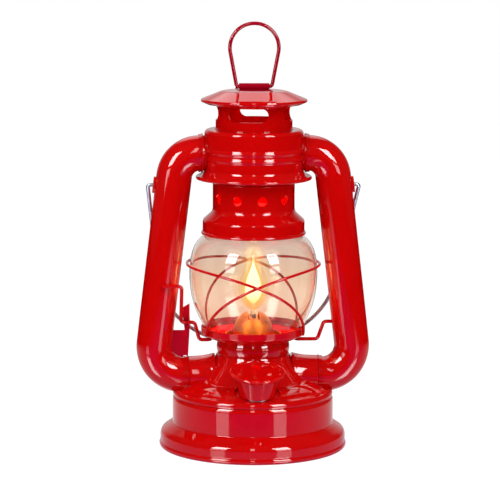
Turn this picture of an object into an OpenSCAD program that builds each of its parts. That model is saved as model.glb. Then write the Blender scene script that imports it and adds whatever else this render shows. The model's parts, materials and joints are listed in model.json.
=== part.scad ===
// Hurricane lantern with a tubular frame, a lifting globe, a sprung chimney and a flat wick burner.
// +Z is up and the origin is the centre of the foot's resting circle. The filler cap is at the front, -Y.

/* [Sheet, wire and gaps] */
// Thickness of the pressed sheet
sheet = 0.6; // [0.4:0.05:0.8]
// Gap between pieces that are soldered or crimped together
seat_gap = 0.05; // [0.02:0.01:0.1]
// Gap between pieces that move past each other
move_gap = 0.3; // [0.2:0.05:0.5]
// Radial gap of a pin in its hole
pin_gap = 0.06; // [0.03:0.01:0.1]

/* [Tank] */
// Radius of the foot
skirt_r = 45.2; // [43:0.1:50]
// Height of the rounded foot
skirt_h = 11.6; // [9:0.1:18]
// Height of the foot's upright lip
lip_h = 2; // [1:0.5:4]
// Radius of the tank wall
wall_r = 38.8; // [37.5:0.1:42]
// Height of the tank wall from the foot to the seam
wall_h = 13.6; // [10:0.1:30]
// Height of the rounded shoulder from the seam to the rim
rim_h = 3.4; // [2.8:0.1:5]
// Radius of the shoulder's rounding
shoulder_r = 2.4; // [1.5:0.1:2.6]
// Rise of the crown from the rim to the boss
crown_rise = 4.2; // [3:0.1:6]
// Radius of the boss at its foot
boss_foot_r = 25.8; // [24:0.1:28]
// Height of the boss above the rim
boss_h = 14.6; // [13.6:0.1:15]
// Height of the floor plate above the resting circle
floor_h = 4; // [3:0.1:6]

/* [Filler] */
// Distance of the filler from the lantern's axis
filler_y = 29.4; // [29:0.1:30]
// Forward tilt of the filler in degrees
filler_tilt = 12; // [8:0.5:15]
// Height of the filler's pad above the rim
pad_rise = 2; // [1.5:0.1:2.6]
// Outer radius of the filler neck
neck_r = 7; // [5:0.1:7.4]
// Height of the filler neck above its pad
neck_h = 8.1; // [6:0.1:9]
// Thickness of the gasket
gasket_h = 1.2; // [0.8:0.1:2]
// Radius of the cap's head
cap_head_r = 13.1; // [11.5:0.1:13.2]
// Radius of the cap's skirt under the head
cap_skirt_r = 9.9; // [9:0.1:10.4]
// Thickness of the cap's head
cap_head_h = 2.8; // [2:0.1:4]

/* [Air chamber and burner] */
// Radius of the air chamber at its ends
chamber_r = 16.9; // [16:0.1:17.4]
// Bulge of the air chamber's barrel
chamber_bulge = 0.7; // [0:0.1:1]
// Height of the air chamber's top above the rim
chamber_rise = 24.1; // [20:0.1:28]
// Depth of the air chamber's floor below the rim
chamber_depth = 4.6; // [3.5:0.1:5]
// Radius of the burner's collar
burner_r = 9.5; // [8:0.1:10]
// Radius of the burner's gallery
gallery_r = 13.5; // [12.5:0.1:14]
// Radius of the burner's dome
dome_r = 10; // [9:0.1:11]
// Height of the burner's dome above the globe plate
dome_rise = 13; // [11:0.1:16]
// Width of the wick
wick_w = 10; // [7:0.1:11]
// Thickness of the wick
wick_t = 1.8; // [1.2:0.1:2.2]
// Radius of the toothed wheel on the wick shaft
wheel_r = 2.2; // [1.8:0.1:2.6]
// Radius of the wick shaft
shaft_r = 1; // [0.8:0.1:1.2]
// Radius of the wick knob
knob_r = 5.5; // [4:0.1:6]
// Distance of the knob's inner face from the lantern's axis
knob_y = 24.6; // [24.2:0.1:27]

/* [Air tubes] */
// Outer radius of an air tube
tube_r = 8.5; // [7.5:0.1:8.8]
// Height of the lower run above the tank rim
tube_rise = 5.9; // [5:0.1:7]
// Distance of the upper run below the canopy top
tube_drop = 11.4; // [10.5:0.1:12]
// Half width of the frame at the upper corners
frame_top_x = 36.75; // [36:0.1:40]
// Half width of the frame at the lower corners
frame_foot_x = 49.6; // [48.5:0.1:52]
// Bend radius at the upper corners
upper_bend = 12.1; // [10:0.1:12.4]
// Bend radius at the lower corners
lower_bend = 14.3; // [11:0.1:15]

/* [Globe and guard] */
// Radius of the globe plate's rim
plate_r = 25.1; // [24.8:0.1:26]
// Height of the globe plate's rim above its floor
plate_h = 5.5; // [4.5:0.1:7]
// Radius of the opening in the globe plate
plate_hole_r = 14.8; // [14.4:0.1:15.2]
// Largest radius of the glass
globe_r = 30.75; // [29:0.05:31]
// Radius of the glass at its foot
globe_foot_r = 23; // [22.6:0.1:23.2]
// Radius of the glass at its top
globe_top_r = 22.8; // [22:0.1:23.2]
// Height of the glass
globe_h = 54.8; // [50:0.1:60]
// Thickness of the glass
glass_t = 1.2; // [0.8:0.1:1.6]
// Radius of the guard wire
guard_wire_r = 0.55; // [0.4:0.05:0.6]

/* [Chimney] */
// Gap between the glass and the drum of the globe cap
cap_drum_gap = 1; // [0.6:0.1:1.6]
// Depth of the globe cap's drum over the glass
cap_drum_h = 8.2; // [6:0.1:10]
// Radius of the perforated neck
perf_neck_r = 19.6; // [19.3:0.1:20.4]
// Height of the perforated neck above the drum
perf_neck_h = 17.3; // [15:0.1:17.6]
// Radius of a neck hole
perf_hole_r = 2.3; // [1.5:0.1:2.8]
// Number of neck holes
perf_count = 10; // [6:1:14]
// Radius of the chimney tube
chimney_r = 18.3; // [17.8:0.1:18.6]
// Height of a chimney slot
slot_h = 6.5; // [4:0.1:7.5]
// Width of a chimney slot
slot_w = 18.9; // [14:0.1:20]
// Turn of the slots about the axis in degrees
slot_turn = -13.5; // [-45:0.1:45]
// Distance from the canopy top to the hood's lip
hood_rise = 12; // [12:0.1:15]
// Radius of the hood
hood_r = 25.4; // [24:0.1:28]
// Height of the hood's lip
hood_lip_h = 2.6; // [2:0.1:4]
// Inward taper of the hood's lip, down to its edge
hood_lip_taper = 3; // [0:0.1:4]
// Height of the hood's cone
hood_cone_h = 3.8; // [2:0.1:5]
// Radius of the hood's flat top
hood_flat_r = 15; // [12:0.1:17]

/* [Canopy] */
// Radius of the canopy drum
canopy_r = 23.6; // [23.4:0.1:24.4]
// Radius of the canopy's flared rim
canopy_rim_r = 27.8; // [27:0.1:29]
// Height of the canopy's flare
flare_h = 4.6; // [3.5:0.1:6]
// Height of the canopy
canopy_h = 23.9; // [22.5:0.1:27]
// Gap in height from the globe cap's drum to the canopy rim
canopy_lift = 18.4; // [18:0.1:22]

/* [Strap and ring] */
// Width of the strap at its knuckle
strap_w = 14.4; // [10:0.1:16]
// Width of the strap at the hood's lip
strap_lip_w = 17.5; // [10:0.1:20]
// Thickness of the strap
strap_t = 0.7; // [0.5:0.05:1]
// Radius of the ring's wire
ring_wire_r = 0.9; // [0.6:0.05:1]
// Height of the ring between wire centres
ring_h = 29.8; // [27:0.1:36]
// Bend radius at the top of the ring
ring_bend = 11.5; // [9:0.1:11.5]
// Half width of the ring at its upper corners, before bending
ring_corner_x = 14; // [14:0.1:15]

/* [Bail] */
// Radius of the bail's wire
bail_wire_r = 0.95; // [0.7:0.05:1]
// Half distance between the bail's arms at the pivots
bail_arm_x = 50.7; // [50.6:0.1:53]
// Half width of the bow at its lower corners, before bending
bail_corner_x = 38.6; // [38.6:0.1:44]
// Bend radius of the bow
bail_bend = 43; // [36:0.1:43]
// Reach of the bail from its pivots
bail_reach = 90; // [86:0.5:110]
// Sideways set of the bow
bail_set = -2.6; // [-2.6:0.1:2.6]
// Backward tilt of the hanging bail in degrees
bail_tilt = 22.5; // [22.5:0.5:30]
// Distance of the pivots below the upper runs of the tubes
bail_drop = 15.2; // [13:0.1:18]

/* [Lift lever] */
// Radius of the lever's wire
lever_wire_r = 0.9; // [0.7:0.05:1]
// Height of the lever's axis above the globe plate
lever_rise = 7.3; // [6:0.1:9]
// Half width of the yoke
yoke_x = 20.5; // [20:0.1:21.5]
// Reach of the yoke behind the axis
yoke_y = 22.3; // [21.5:0.1:22.4]
// Height of the handle above the lever's axis
handle_h = 19.1; // [14:0.1:24]
// Length of the handle's grip
handle_l = 9.2; // [6:0.1:12]

/* [Hidden] */
$fn = 96;

enamel = "firebrick";
steel = "silver";
brass = "goldenrod";

// Heights, from the foot up
seam_z = skirt_h + wall_h;
rim_z = seam_z + rim_h;
boss_top_z = rim_z + boss_h;
chamber_floor_z = rim_z - chamber_depth;
chamber_top_z = rim_z + chamber_rise;
tube_foot_z = rim_z + tube_rise;
plate_z = chamber_top_z + move_gap;
plate_step = 1.9;
ledge_z = plate_z + plate_step;
glass_foot_z = ledge_z + sheet + seat_gap;
glass_top_z = glass_foot_z + globe_h;
drum_top_z = glass_top_z + move_gap + sheet;
perf_top_z = drum_top_z + perf_neck_h;
canopy_rim_z = drum_top_z + canopy_lift;
canopy_top_z = canopy_rim_z + canopy_h;
tube_top_z = canopy_top_z - tube_drop;
hood_z = canopy_top_z + hood_rise;
hood_lip_z = hood_z + hood_lip_h;
hood_top_z = hood_lip_z + hood_cone_h;
knuckle_r = ring_wire_r + pin_gap + sheet;
knuckle_z = hood_top_z + seat_gap + strap_t + knuckle_r - sheet / 2;
lever_z = plate_z + lever_rise;
yoke_z = plate_z - move_gap - lever_wire_r;
bail_z = tube_top_z - bail_drop;
shaft_rise = 2.5;
shaft_z = boss_top_z + shaft_rise;

// Points of a polyline, its unit directions and its left-hand normals
function unit(v) = v / norm(v);
function left_of(d) = [-d[1], d[0]];
function flip(list) = [for (i = [len(list) - 1 : -1 : 0]) list[i]];
function step_normal(p, i) = left_of(unit(p[i + 1] - p[i]));
function corner_shift(p, i) =
    i == 0 ? step_normal(p, 0)
    : i == len(p) - 1 ? step_normal(p, i - 1)
    : (step_normal(p, i - 1) + step_normal(p, i)) / (1 + step_normal(p, i - 1) * step_normal(p, i));
// The same polyline moved sideways, to the left for a positive distance
function beside(p, distance) = [for (i = [0 : len(p) - 1]) p[i] + distance * corner_shift(p, i)];
// Closed outline of a sheet whose metal lies left of the polyline
function sheet_outline(p, t) = concat(p, flip(beside(p, t)));
// Points of an elliptic arc, a quadratic curve and a cubic curve
function arc(centre, rx, rz, from, to, steps) =
    [for (i = [0 : steps]) let (a = from + (to - from) * i / steps)
        centre + [rx * cos(a), rz * sin(a)]];
function bow2(a, b, c, steps) =
    [for (i = [0 : steps]) let (t = i / steps) (1 - t) ^ 2 * a + 2 * t * (1 - t) * b + t ^ 2 * c];
function bow3(a, b, c, d, steps) =
    [for (i = [0 : steps]) let (t = i / steps)
        (1 - t) ^ 3 * a + 3 * t * (1 - t) ^ 2 * b + 3 * t ^ 2 * (1 - t) * c + t ^ 3 * d];

// A sheet turned about the lantern's axis
module spun_sheet(p, t = sheet) {
    rotate_extrude() polygon(sheet_outline(p, t));
}

// A ring turned about the lantern's axis
module spun_ring(r_in, r_out, z_low, z_high) {
    rotate_extrude() translate([r_in, z_low]) square([r_out - r_in, z_high - z_low]);
}

// A round bar along X
module x_bar(x_from, x_to, r) {
    translate([x_from, 0, 0]) rotate([0, 90, 0]) cylinder(r = r, h = x_to - x_from);
}

// Angle of the turn at corner i of a path, and the length that its bend takes from each leg
function heading(p, i) = unit(p[i + 1] - p[i]);
function turn_at(p, i) = acos(max(-1, min(1, heading(p, i - 1) * heading(p, i))));
function bend_cut(p, bends, i) =
    i == 0 || i == len(p) - 1 ? 0 : bends[i - 1] * tan(turn_at(p, i) / 2);

module bar_leg(from, to, r) {
    d = to - from;
    translate(from) rotate([0, acos(d[2] / norm(d)), atan2(d[1], d[0])]) cylinder(r = r, h = norm(d));
}

module bar_elbow(p, i, bend, r) {
    a = heading(p, i - 1);
    b = heading(p, i);
    turn = turn_at(p, i);
    k = unit(cross(a, b));
    e = cross(a, k);
    c = p[i] + bend / cos(turn / 2) * unit(b - a);
    multmatrix([[e[0], a[0], k[0], c[0]],
                [e[1], a[1], k[1], c[1]],
                [e[2], a[2], k[2], c[2]],
                [0, 0, 0, 1]])
        rotate_extrude(angle = turn) translate([bend, 0]) circle(r = r);
}

// A hairline band round the meeting of a leg and an elbow, which makes them one solid
module bar_joint(at, direction, r) {
    proud = 0.01;
    half = 0.06;
    bar_leg(at - half * direction, at + half * direction, r + proud);
}

// A round bar along a path of corners, bent round each inner corner
module bent_bar(p, bends, r) {
    for (i = [0 : len(p) - 2]) {
        from = p[i] + heading(p, i) * bend_cut(p, bends, i);
        to = p[i + 1] - heading(p, i) * bend_cut(p, bends, i + 1);
        bar_leg(from, to, r);
        if (i > 0) bar_joint(from, heading(p, i), r);
        if (i < len(p) - 2) bar_joint(to, heading(p, i), r);
    }
    for (i = [1 : len(p) - 2]) bar_elbow(p, i, bends[i - 1], r);
}

// Ring of points round station i of a path that winds about Z
function path_tangent(p, i) = unit(p[min(i + 1, len(p) - 1)] - p[max(i - 1, 0)]);
function path_ring(p, i, r, sides) =
    let (t = path_tangent(p, i),
         out = [p[i][0], p[i][1], 0],
         u = unit(out - (out * t) * t),
         v = cross(t, u))
    [for (k = [0 : sides - 1]) p[i] + r * (cos(360 * k / sides) * u + sin(360 * k / sides) * v)];

// A thin wire swept along close points that wind about Z
module swept_wire(p, r, sides) {
    last = (len(p) - 1) * sides;
    polyhedron(
        points = [for (i = [0 : len(p) - 1]) each path_ring(p, i, r, sides)],
        faces = concat(
            [for (i = [0 : len(p) - 2]) for (k = [0 : sides - 1])
                [i * sides + k, (i + 1) * sides + (k + 1) % sides, i * sides + (k + 1) % sides]],
            [for (i = [0 : len(p) - 2]) for (k = [0 : sides - 1])
                [i * sides + k, (i + 1) * sides + k, (i + 1) * sides + (k + 1) % sides]],
            [for (k = [1 : sides - 2]) [0, k, k + 1]],
            [for (k = [1 : sides - 2]) [last, last + k + 1, last + k]]));
}

// Outer lines of the pressed shells, as [radius, height], with the metal on their left
round_steps = 10;

bowl_line = concat(
    [[skirt_r, 0]],
    arc([wall_r, lip_h], skirt_r - wall_r, skirt_h - lip_h, 0, 90, 2 * round_steps),
    [[wall_r, seam_z]]);

boss_top_r = chamber_r + seat_gap + sheet;
crown_z = rim_z + crown_rise;
boss_fillet = 1.6;
boss_foot = [boss_foot_r, crown_z];
boss_top = [boss_top_r, boss_top_z];
boss_line = unit(boss_top - boss_foot);
crown_bow = [(wall_r - shoulder_r + boss_foot_r) / 2, rim_z + 0.72 * crown_rise];
crown_in = unit(boss_foot - crown_bow);

top_line = concat(
    [[wall_r, seam_z + seat_gap]],
    arc([wall_r - shoulder_r, rim_z - shoulder_r], shoulder_r, shoulder_r, 0, 90, round_steps),
    bow2([wall_r - shoulder_r - 0.5, rim_z], crown_bow, boss_foot - boss_fillet * crown_in, round_steps),
    bow2(boss_foot - 0.8 * boss_fillet * crown_in, boss_foot, boss_foot + boss_fillet * boss_line, 6),
    bow2(boss_top - 4 * boss_line, boss_top - 1.6 * boss_line, boss_top + [0, 0.9], 6));

chamber_floor_r = burner_r + seat_gap;
chamber_round = 1.5;
chamber_lip = 0.9;
chamber_line = concat(
    [[chamber_floor_r, chamber_floor_z]],
    arc([chamber_r - chamber_round, chamber_floor_z + chamber_round], chamber_round, chamber_round, -90, 0, 6),
    [for (i = [0 : 12]) let (s = i / 12)
        [chamber_r + chamber_bulge * sin(180 * s),
         boss_top_z + 1 + (chamber_top_z - chamber_lip - boss_top_z - 1) * s]],
    arc([chamber_r - chamber_lip, chamber_top_z - chamber_lip], chamber_lip, chamber_lip, 15, 90, 5));

swage_h = 0.45;
swage_w = 0.9;
swage_low_z = canopy_top_z - 12.7;
swage_high_z = canopy_top_z - 9.2;
rim_wire = 0.9;
canopy_round = 1.7;
chimney_hole_r = chimney_r + move_gap;
function swage(z) = arc([canopy_r, z], swage_h, swage_w, -90, 90, 6);
canopy_line = concat(
    bow2([canopy_rim_r - rim_wire, canopy_rim_z + rim_wire],
         [canopy_r + 0.6, canopy_rim_z + 0.5 * flare_h],
         [canopy_r, canopy_rim_z + flare_h], round_steps),
    swage(swage_low_z),
    swage(swage_high_z),
    arc([canopy_r - canopy_round, canopy_top_z - canopy_round], canopy_round, canopy_round, 0, 90, 8),
    [[chimney_hole_r, canopy_top_z]]);

cap_drum_r = globe_top_r + cap_drum_gap + sheet;
drum_round = 0.8;
drum_flat_r = globe_top_r - glass_t;
neck_foot_h = 3.4;
cap_line = concat(
    [[cap_drum_r, drum_top_z - cap_drum_h + rim_wire]],
    arc([cap_drum_r - drum_round, drum_top_z - drum_round], drum_round, drum_round, 0, 90, 5),
    bow2([drum_flat_r, drum_top_z], [perf_neck_r + 0.2, drum_top_z + 0.4],
         [perf_neck_r, drum_top_z + neck_foot_h], 8),
    arc([perf_neck_r - drum_round, perf_top_z - drum_round], drum_round, drum_round, 0, 90, 4),
    [[chimney_r + seat_gap, perf_top_z]]);

hood_round = 0.8;
lip_under_angle = -66;
lip_over_angle = 74;
flat_round_in = 1.2;
flat_round_drop = 0.36;
hood_line = concat(
    [[hood_r - hood_lip_taper, hood_z]],
    arc([hood_r - hood_round, hood_lip_z - hood_round], hood_round, hood_round,
        lip_under_angle, lip_over_angle, 8),
    bow2([hood_flat_r + flat_round_in, hood_top_z - flat_round_drop], [hood_flat_r, hood_top_z],
         [hood_flat_r - flat_round_in, hood_top_z], 4),
    [[0, hood_top_z]]);

globe_belly_z = glass_foot_z + 0.527 * globe_h;
globe_neck_z = glass_top_z - 7.4;
globe_line = concat(
    bow3([globe_foot_r, glass_foot_z],
         [globe_foot_r + 1.2, glass_foot_z + 5.4],
         [globe_r, globe_belly_z - 18],
         [globe_r, globe_belly_z], 16),
    bow3([globe_r, globe_belly_z + 0.2],
         [globe_r, globe_belly_z + 9.5],
         [globe_top_r + 5.4, globe_neck_z - 2.6],
         [globe_top_r + 0.2, globe_neck_z], 16),
    [[globe_top_r, globe_neck_z + 1.5], [globe_top_r, glass_top_z]]);

plate_round = 0.7;
plate_line = concat(
    [[plate_hole_r, plate_z]],
    bow2([globe_foot_r - 2.6, plate_z], [globe_foot_r - 1.6, plate_z], [globe_foot_r - 1.1, plate_z + 0.9], 4),
    bow2([globe_foot_r - 0.9, ledge_z - 0.6], [globe_foot_r - 0.6, ledge_z], [globe_foot_r, ledge_z], 4),
    arc([plate_r - plate_round, ledge_z + plate_round], plate_round, plate_round, -90, 0, 5),
    [[plate_r, plate_z + plate_h]]);

// Centre lines of the tubes, from the canopy to the air chamber, for side = 1 or -1
tube_top_in = canopy_r - 2;
tube_foot_in = chamber_r - 2.6;
tube_ends_extra = 1;
function tube_path(side, extra = 0) =
    [[side * (tube_top_in - extra), 0, tube_top_z],
     [side * frame_top_x, 0, tube_top_z],
     [side * frame_foot_x, 0, tube_foot_z],
     [side * (tube_foot_in - extra), 0, tube_foot_z]];
// Outward lean of the tubes, and the distance of their axis from Z at a height
tube_lean = atan2(frame_foot_x - frame_top_x, tube_top_z - tube_foot_z);
function tube_x(z) = frame_top_x + (tube_top_z - z) * tan(tube_lean);

module tube_solid(side, r, extra = 0) {
    bent_bar(tube_path(side, extra), [upper_bend, lower_bend], r);
}

// Straight bars along the lower runs of both tubes, out past the tank wall
module lower_runs(r) {
    translate([0, 0, tube_foot_z]) for (side = [0, 1]) mirror([side, 0, 0]) x_bar(chamber_r / 2, wall_r + 1, r);
}

// Sleeves of the tank top round the lower runs, which swell towards the boss and end short of the bends
saddle_gap = 2 * seat_gap;
collar_lip = 0.8;
collar_rise = 0.9;
collar_w = 2.5 * collar_lip;
run_end_x = frame_foot_x - lower_bend * tan((90 + tube_lean) / 2);
boot_end_x = run_end_x - collar_w - 4 * seat_gap;
boot_in_x = boss_top_r + 1;
boot_end_r = tube_r + saddle_gap + sheet;
boot_swell = 1.4;
module boots() {
    translate([0, 0, tube_foot_z]) for (turn = [0, 180]) rotate([0, 0, turn])
        translate([boot_in_x, 0, 0]) rotate([0, 90, 0])
            cylinder(r1 = boot_end_r + boot_swell, r2 = boot_end_r, h = boot_end_x - boot_in_x);
}

module air_tube(side) {
    difference() {
        tube_solid(side, tube_r);
        tube_solid(side, tube_r - sheet, tube_ends_extra);
        if (side > 0) translate([0, 0, lever_z]) x_bar(0, tube_x(lever_z), lever_wire_r + pin_gap);
    }
}

// Filler parts stand in a frame whose Z is the filler's axis and whose origin is the centre of its pad
pad_z = rim_z + pad_rise;
module on_filler() {
    translate([0, -filler_y, pad_z]) rotate([filler_tilt, 0, 0]) children();
}
pocket_r = cap_skirt_r + 0.9;
pocket_h = 14;
cap_clear = 0.5;
neck_below = 5;
gasket_z = neck_h + seat_gap;
cap_inner_z = gasket_z + gasket_h + seat_gap;
cap_bore_r = neck_r + move_gap;

module tank_bowl() {
    color(enamel) spun_sheet(bowl_line);
}

module tank_floor() {
    flange_r = skirt_r - 2 * sheet - seat_gap;
    floor_round = 2;
    dome = 1.2;
    line = concat(
        bow2([0, floor_h + dome], [0.6 * flange_r, floor_h + dome], [flange_r - 2 * floor_round, floor_h], 8),
        arc([flange_r - floor_round, floor_h - floor_round], floor_round, floor_round, 90, 0, 6),
        [[flange_r, 0.4]]);
    color(steel) spun_sheet(line);
}

// All the space under the tank top's outer face, outside the air chamber
module under_tank_top() {
    inner_r = chamber_r + seat_gap;
    low_z = seam_z - 1.2;
    rotate_extrude() polygon(concat(
        [[inner_r, low_z], [wall_r - sheet - seat_gap, low_z], [wall_r - sheet - seat_gap, seam_z + seat_gap]],
        top_line,
        [[inner_r, boss_top_z + 0.9]]));
}

module tank_top() {
    color(enamel) difference() {
        union() {
            spun_sheet(top_line);
            boots();
            intersection() {
                under_tank_top();
                union() {
                    lower_runs(tube_r + saddle_gap + sheet);
                    on_filler() translate([0, 0, -sheet]) cylinder(r = pocket_r + sheet, h = pocket_h + sheet);
                }
            }
        }
        lower_runs(tube_r + saddle_gap);
        on_filler() cylinder(r = pocket_r, h = pocket_h);
        on_filler() translate([0, 0, -neck_below]) cylinder(r = neck_r + seat_gap, h = pocket_h);
    }
}

module filler_neck() {
    color(steel) on_filler() translate([0, 0, -neck_below]) difference() {
        cylinder(r = neck_r, h = neck_below + neck_h);
        translate([0, 0, -1]) cylinder(r = neck_r - sheet, h = neck_below + neck_h + 2);
    }
}

module cap_gasket() {
    color("dimgray") on_filler() translate([0, 0, gasket_z]) difference() {
        cylinder(r = neck_r + move_gap / 2, h = gasket_h);
        translate([0, 0, -1]) cylinder(r = neck_r - 2.2, h = gasket_h + 2);
    }
}

module filler_cap() {
    skirt_taper = 1.2;
    skirt_foot_r = cap_skirt_r - skirt_taper;
    head_z = cap_inner_z + cap_head_h;
    rim_w = 1.5;
    dish = 0.9;
    edge = 0.6;
    color(enamel) on_filler() rotate_extrude() polygon(concat(
        [[cap_bore_r, cap_clear], [skirt_foot_r, cap_clear], [cap_skirt_r, cap_inner_z - 0.4]],
        bow2([cap_skirt_r + 0.4, cap_inner_z + 0.2], [cap_head_r - 1, cap_inner_z + 0.5],
             [cap_head_r - 0.4, head_z - 2 * edge - 0.4], 5),
        arc([cap_head_r - edge, head_z - edge], edge, edge, -30, 90, 6),
        bow2([cap_head_r - rim_w, head_z], [cap_head_r - rim_w - 0.6, head_z - dish],
             [cap_head_r - rim_w - 1.6, head_z - dish], 5),
        [[0, head_z - dish - 0.2], [0, cap_inner_z], [cap_bore_r, cap_inner_z]]));
}

// The wheel beside the wick, and the shaft from it to the rear
shaft_x = wick_t / 2 + move_gap + wheel_r;
shaft_front_y = -4;

module air_chamber() {
    color(enamel) difference() {
        spun_sheet(chamber_line);
        lower_runs(tube_r + seat_gap);
        translate([shaft_x, 0, shaft_z]) rotate([-90, 0, 0]) cylinder(r = shaft_r + pin_gap, h = 2 * chamber_r);
    }
}

gallery_z = chamber_top_z - 1.2;
gallery_h = 3.8;
gallery_round = 1;
module burner_body() {
    sleeve_low = chamber_floor_z - 3;
    flange_z = chamber_floor_z + sheet + seat_gap;
    flange_r = burner_r + 2;
    fillet = [gallery_r - gallery_round, gallery_z + gallery_round];
    line = concat(
        [[burner_r - sheet, sleeve_low], [burner_r, sleeve_low], [burner_r, flange_z],
         [flange_r, flange_z], [flange_r, flange_z + sheet], [burner_r, flange_z + sheet]],
        bow2([burner_r, gallery_z - 1.6], [burner_r, gallery_z - 0.4], [burner_r + 1.2, gallery_z], 4),
        arc(fillet, gallery_round, gallery_round, -90, 0, 4),
        [[gallery_r, gallery_z + gallery_h], [gallery_r - sheet, gallery_z + gallery_h]],
        arc(fillet, gallery_round - sheet, gallery_round - sheet, 0, -90, 4),
        [[burner_r - sheet, gallery_z + sheet]]);
    vent_z = (shaft_z + flange_z) / 2;
    vent_r = 2;
    color(brass) difference() {
        rotate_extrude() polygon(line);
        for (i = [0 : 7]) rotate([0, 0, 22.5 + 45 * i]) translate([0, 0, vent_z])
            x_bar(burner_r - 2, burner_r + 1, vent_r);
        translate([shaft_x, 0, shaft_z]) rotate([-90, 0, 0]) cylinder(r = shaft_r + pin_gap, h = 2 * chamber_r);
    }
}

// The flat tube that guides the wick, with the disc that holds it in the burner
guide_gap = 0.4;
guide_x = wick_t + 2 * guide_gap;
guide_y = wick_w + 2 * guide_gap;
guide_low_z = chamber_floor_z - 2;
guide_top_z = plate_z + dome_rise - 3;
disc_z = shaft_z - 8;
module wick_tube() {
    window_h = 2 * wheel_r + 2;
    color(brass) difference() {
        union() {
            translate([-guide_x / 2 - sheet, -guide_y / 2 - sheet, guide_low_z])
                cube([guide_x + 2 * sheet, guide_y + 2 * sheet, guide_top_z - guide_low_z]);
            translate([0, 0, disc_z]) cylinder(r = burner_r - sheet - seat_gap, h = sheet);
        }
        translate([-guide_x / 2, -guide_y / 2, guide_low_z - 1])
            cube([guide_x, guide_y, guide_top_z - guide_low_z + 2]);
        translate([guide_x / 2 - 0.1, -guide_y, shaft_z - window_h / 2]) cube([2, 2 * guide_y, window_h]);
    }
}

module burner_cone() {
    base_z = gallery_z + sheet + seat_gap;
    top_z = plate_z + dome_rise;
    spring_z = base_z + 2.2;
    flange_r = gallery_r - gallery_round - seat_gap;
    line = concat(
        [[flange_r, base_z]],
        [[flange_r, base_z + sheet]],
        arc([0, spring_z], dome_r, top_z - spring_z, 0, 90, 14),
        arc([0, spring_z], dome_r - sheet, top_z - sheet - spring_z, 90, 0, 14),
        [[dome_r - sheet, base_z]]);
    flame_slot = [guide_x + 2 * sheet + 1.6, guide_y + 2 * sheet + 1.2];
    color(brass) difference() {
        rotate_extrude() polygon(line);
        translate([-flame_slot[0] / 2, -flame_slot[1] / 2, spring_z + 2])
            cube([flame_slot[0], flame_slot[1], top_z]);
    }
}

wick_low_z = floor_h + 10;
wick_top_z = plate_z + dome_rise - 1;
module wick() {
    color("ivory") translate([-wick_t / 2, -wick_w / 2, wick_low_z])
        cube([wick_t, wick_w, wick_top_z - wick_low_z]);
}

knob_t = 3.4;
shaft_end_y = knob_y + knob_t;
module wick_shaft() {
    teeth = 10;
    tooth = 0.7;
    wheel_w = 6;
    color(steel) translate([shaft_x, 0, shaft_z]) rotate([-90, 0, 0]) {
        translate([0, 0, shaft_front_y]) cylinder(r = shaft_r, h = shaft_end_y - shaft_front_y);
        difference() {
            translate([0, 0, -wheel_w / 2]) cylinder(r = wheel_r, h = wheel_w);
            for (i = [0 : teeth - 1]) rotate([0, 0, 360 * i / teeth])
                translate([wheel_r, 0, -wheel_w]) cylinder(r = tooth / 2, h = 2 * wheel_w);
        }
    }
}

module wick_knob() {
    flutes = 16;
    flute_r = 0.5;
    rim_edge = 0.8;
    color(steel) translate([shaft_x, knob_y, shaft_z]) rotate([-90, 0, 0]) difference() {
        rotate_extrude() polygon(concat(
            [[shaft_r + seat_gap, 0]],
            arc([knob_r - rim_edge, rim_edge], rim_edge, rim_edge, -90, 0, 5),
            arc([knob_r - rim_edge, knob_t - rim_edge], rim_edge, rim_edge, 0, 90, 5),
            [[knob_r - 2, knob_t - 0.6], [shaft_r + seat_gap, knob_t - 0.6]]));
        for (i = [0 : flutes - 1]) rotate([0, 0, 360 * i / flutes])
            translate([knob_r + flute_r / 3, 0, -1]) cylinder(r = flute_r, h = knob_t + 2, $fn = 24);
    }
}

module left_tube() {
    color(enamel) air_tube(-1);
}

module right_tube() {
    color(enamel) air_tube(1);
}

// Crimped rings at the ends of the tubes: a tall lip, a groove and a low lip
module tube_collar() {
    color(enamel) difference() {
        rotate([0, 90, 0]) {
            cylinder(r = tube_r + collar_rise, h = collar_lip);
            translate([0, 0, collar_lip]) cylinder(r = tube_r + collar_rise / 3, h = collar_lip / 2);
            translate([0, 0, 1.5 * collar_lip]) cylinder(r = tube_r + 0.7 * collar_rise, h = collar_lip);
        }
        x_bar(-1, collar_w + 1, tube_r + seat_gap);
    }
}

module tube_collars() {
    flare_gap = 0.4;
    top_x = canopy_r + swage_h + flare_gap;
    foot_x = boot_end_x + seat_gap;
    for (side = [0, 1]) mirror([side, 0, 0]) {
        translate([top_x, 0, tube_top_z]) tube_collar();
        difference() {
            translate([foot_x, 0, tube_foot_z]) tube_collar();
            translate([0, 0, 2 * seat_gap]) under_tank_top();
        }
    }
}

module canopy() {
    color(enamel) difference() {
        union() {
            spun_sheet(canopy_line);
            rotate_extrude() translate([canopy_rim_r - rim_wire, canopy_rim_z + rim_wire]) circle(r = rim_wire);
        }
        translate([0, 0, tube_top_z]) for (side = [-1, 1])
            mirror([side < 0 ? 1 : 0, 0, 0]) x_bar(canopy_r / 2, 2 * canopy_r, tube_r + seat_gap);
    }
}

// Coil between the canopy top and the neck of the globe cap, as one unbroken wire
spring_wire_r = 0.6;
spring_turns = 4.5;
spring_rings = 20;
spring_r = chimney_r + move_gap + spring_wire_r;
spring_low_z = perf_top_z + seat_gap + spring_wire_r;
spring_high_z = canopy_top_z - sheet - seat_gap - spring_wire_r;
spring_path = [for (i = [0 : spring_turns * spring_rings])
    let (a = 360 * i / spring_rings, s = i / (spring_turns * spring_rings))
    [spring_r * cos(a), spring_r * sin(a), spring_low_z + (spring_high_z - spring_low_z) * s]];
spring_gap = min([for (i = [0 : len(spring_path) - 1 - spring_rings])
    norm(spring_path[i + spring_rings] - spring_path[i])]) - 2 * spring_wire_r;
echo(least_gap_between_spring_turns = spring_gap);

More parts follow.
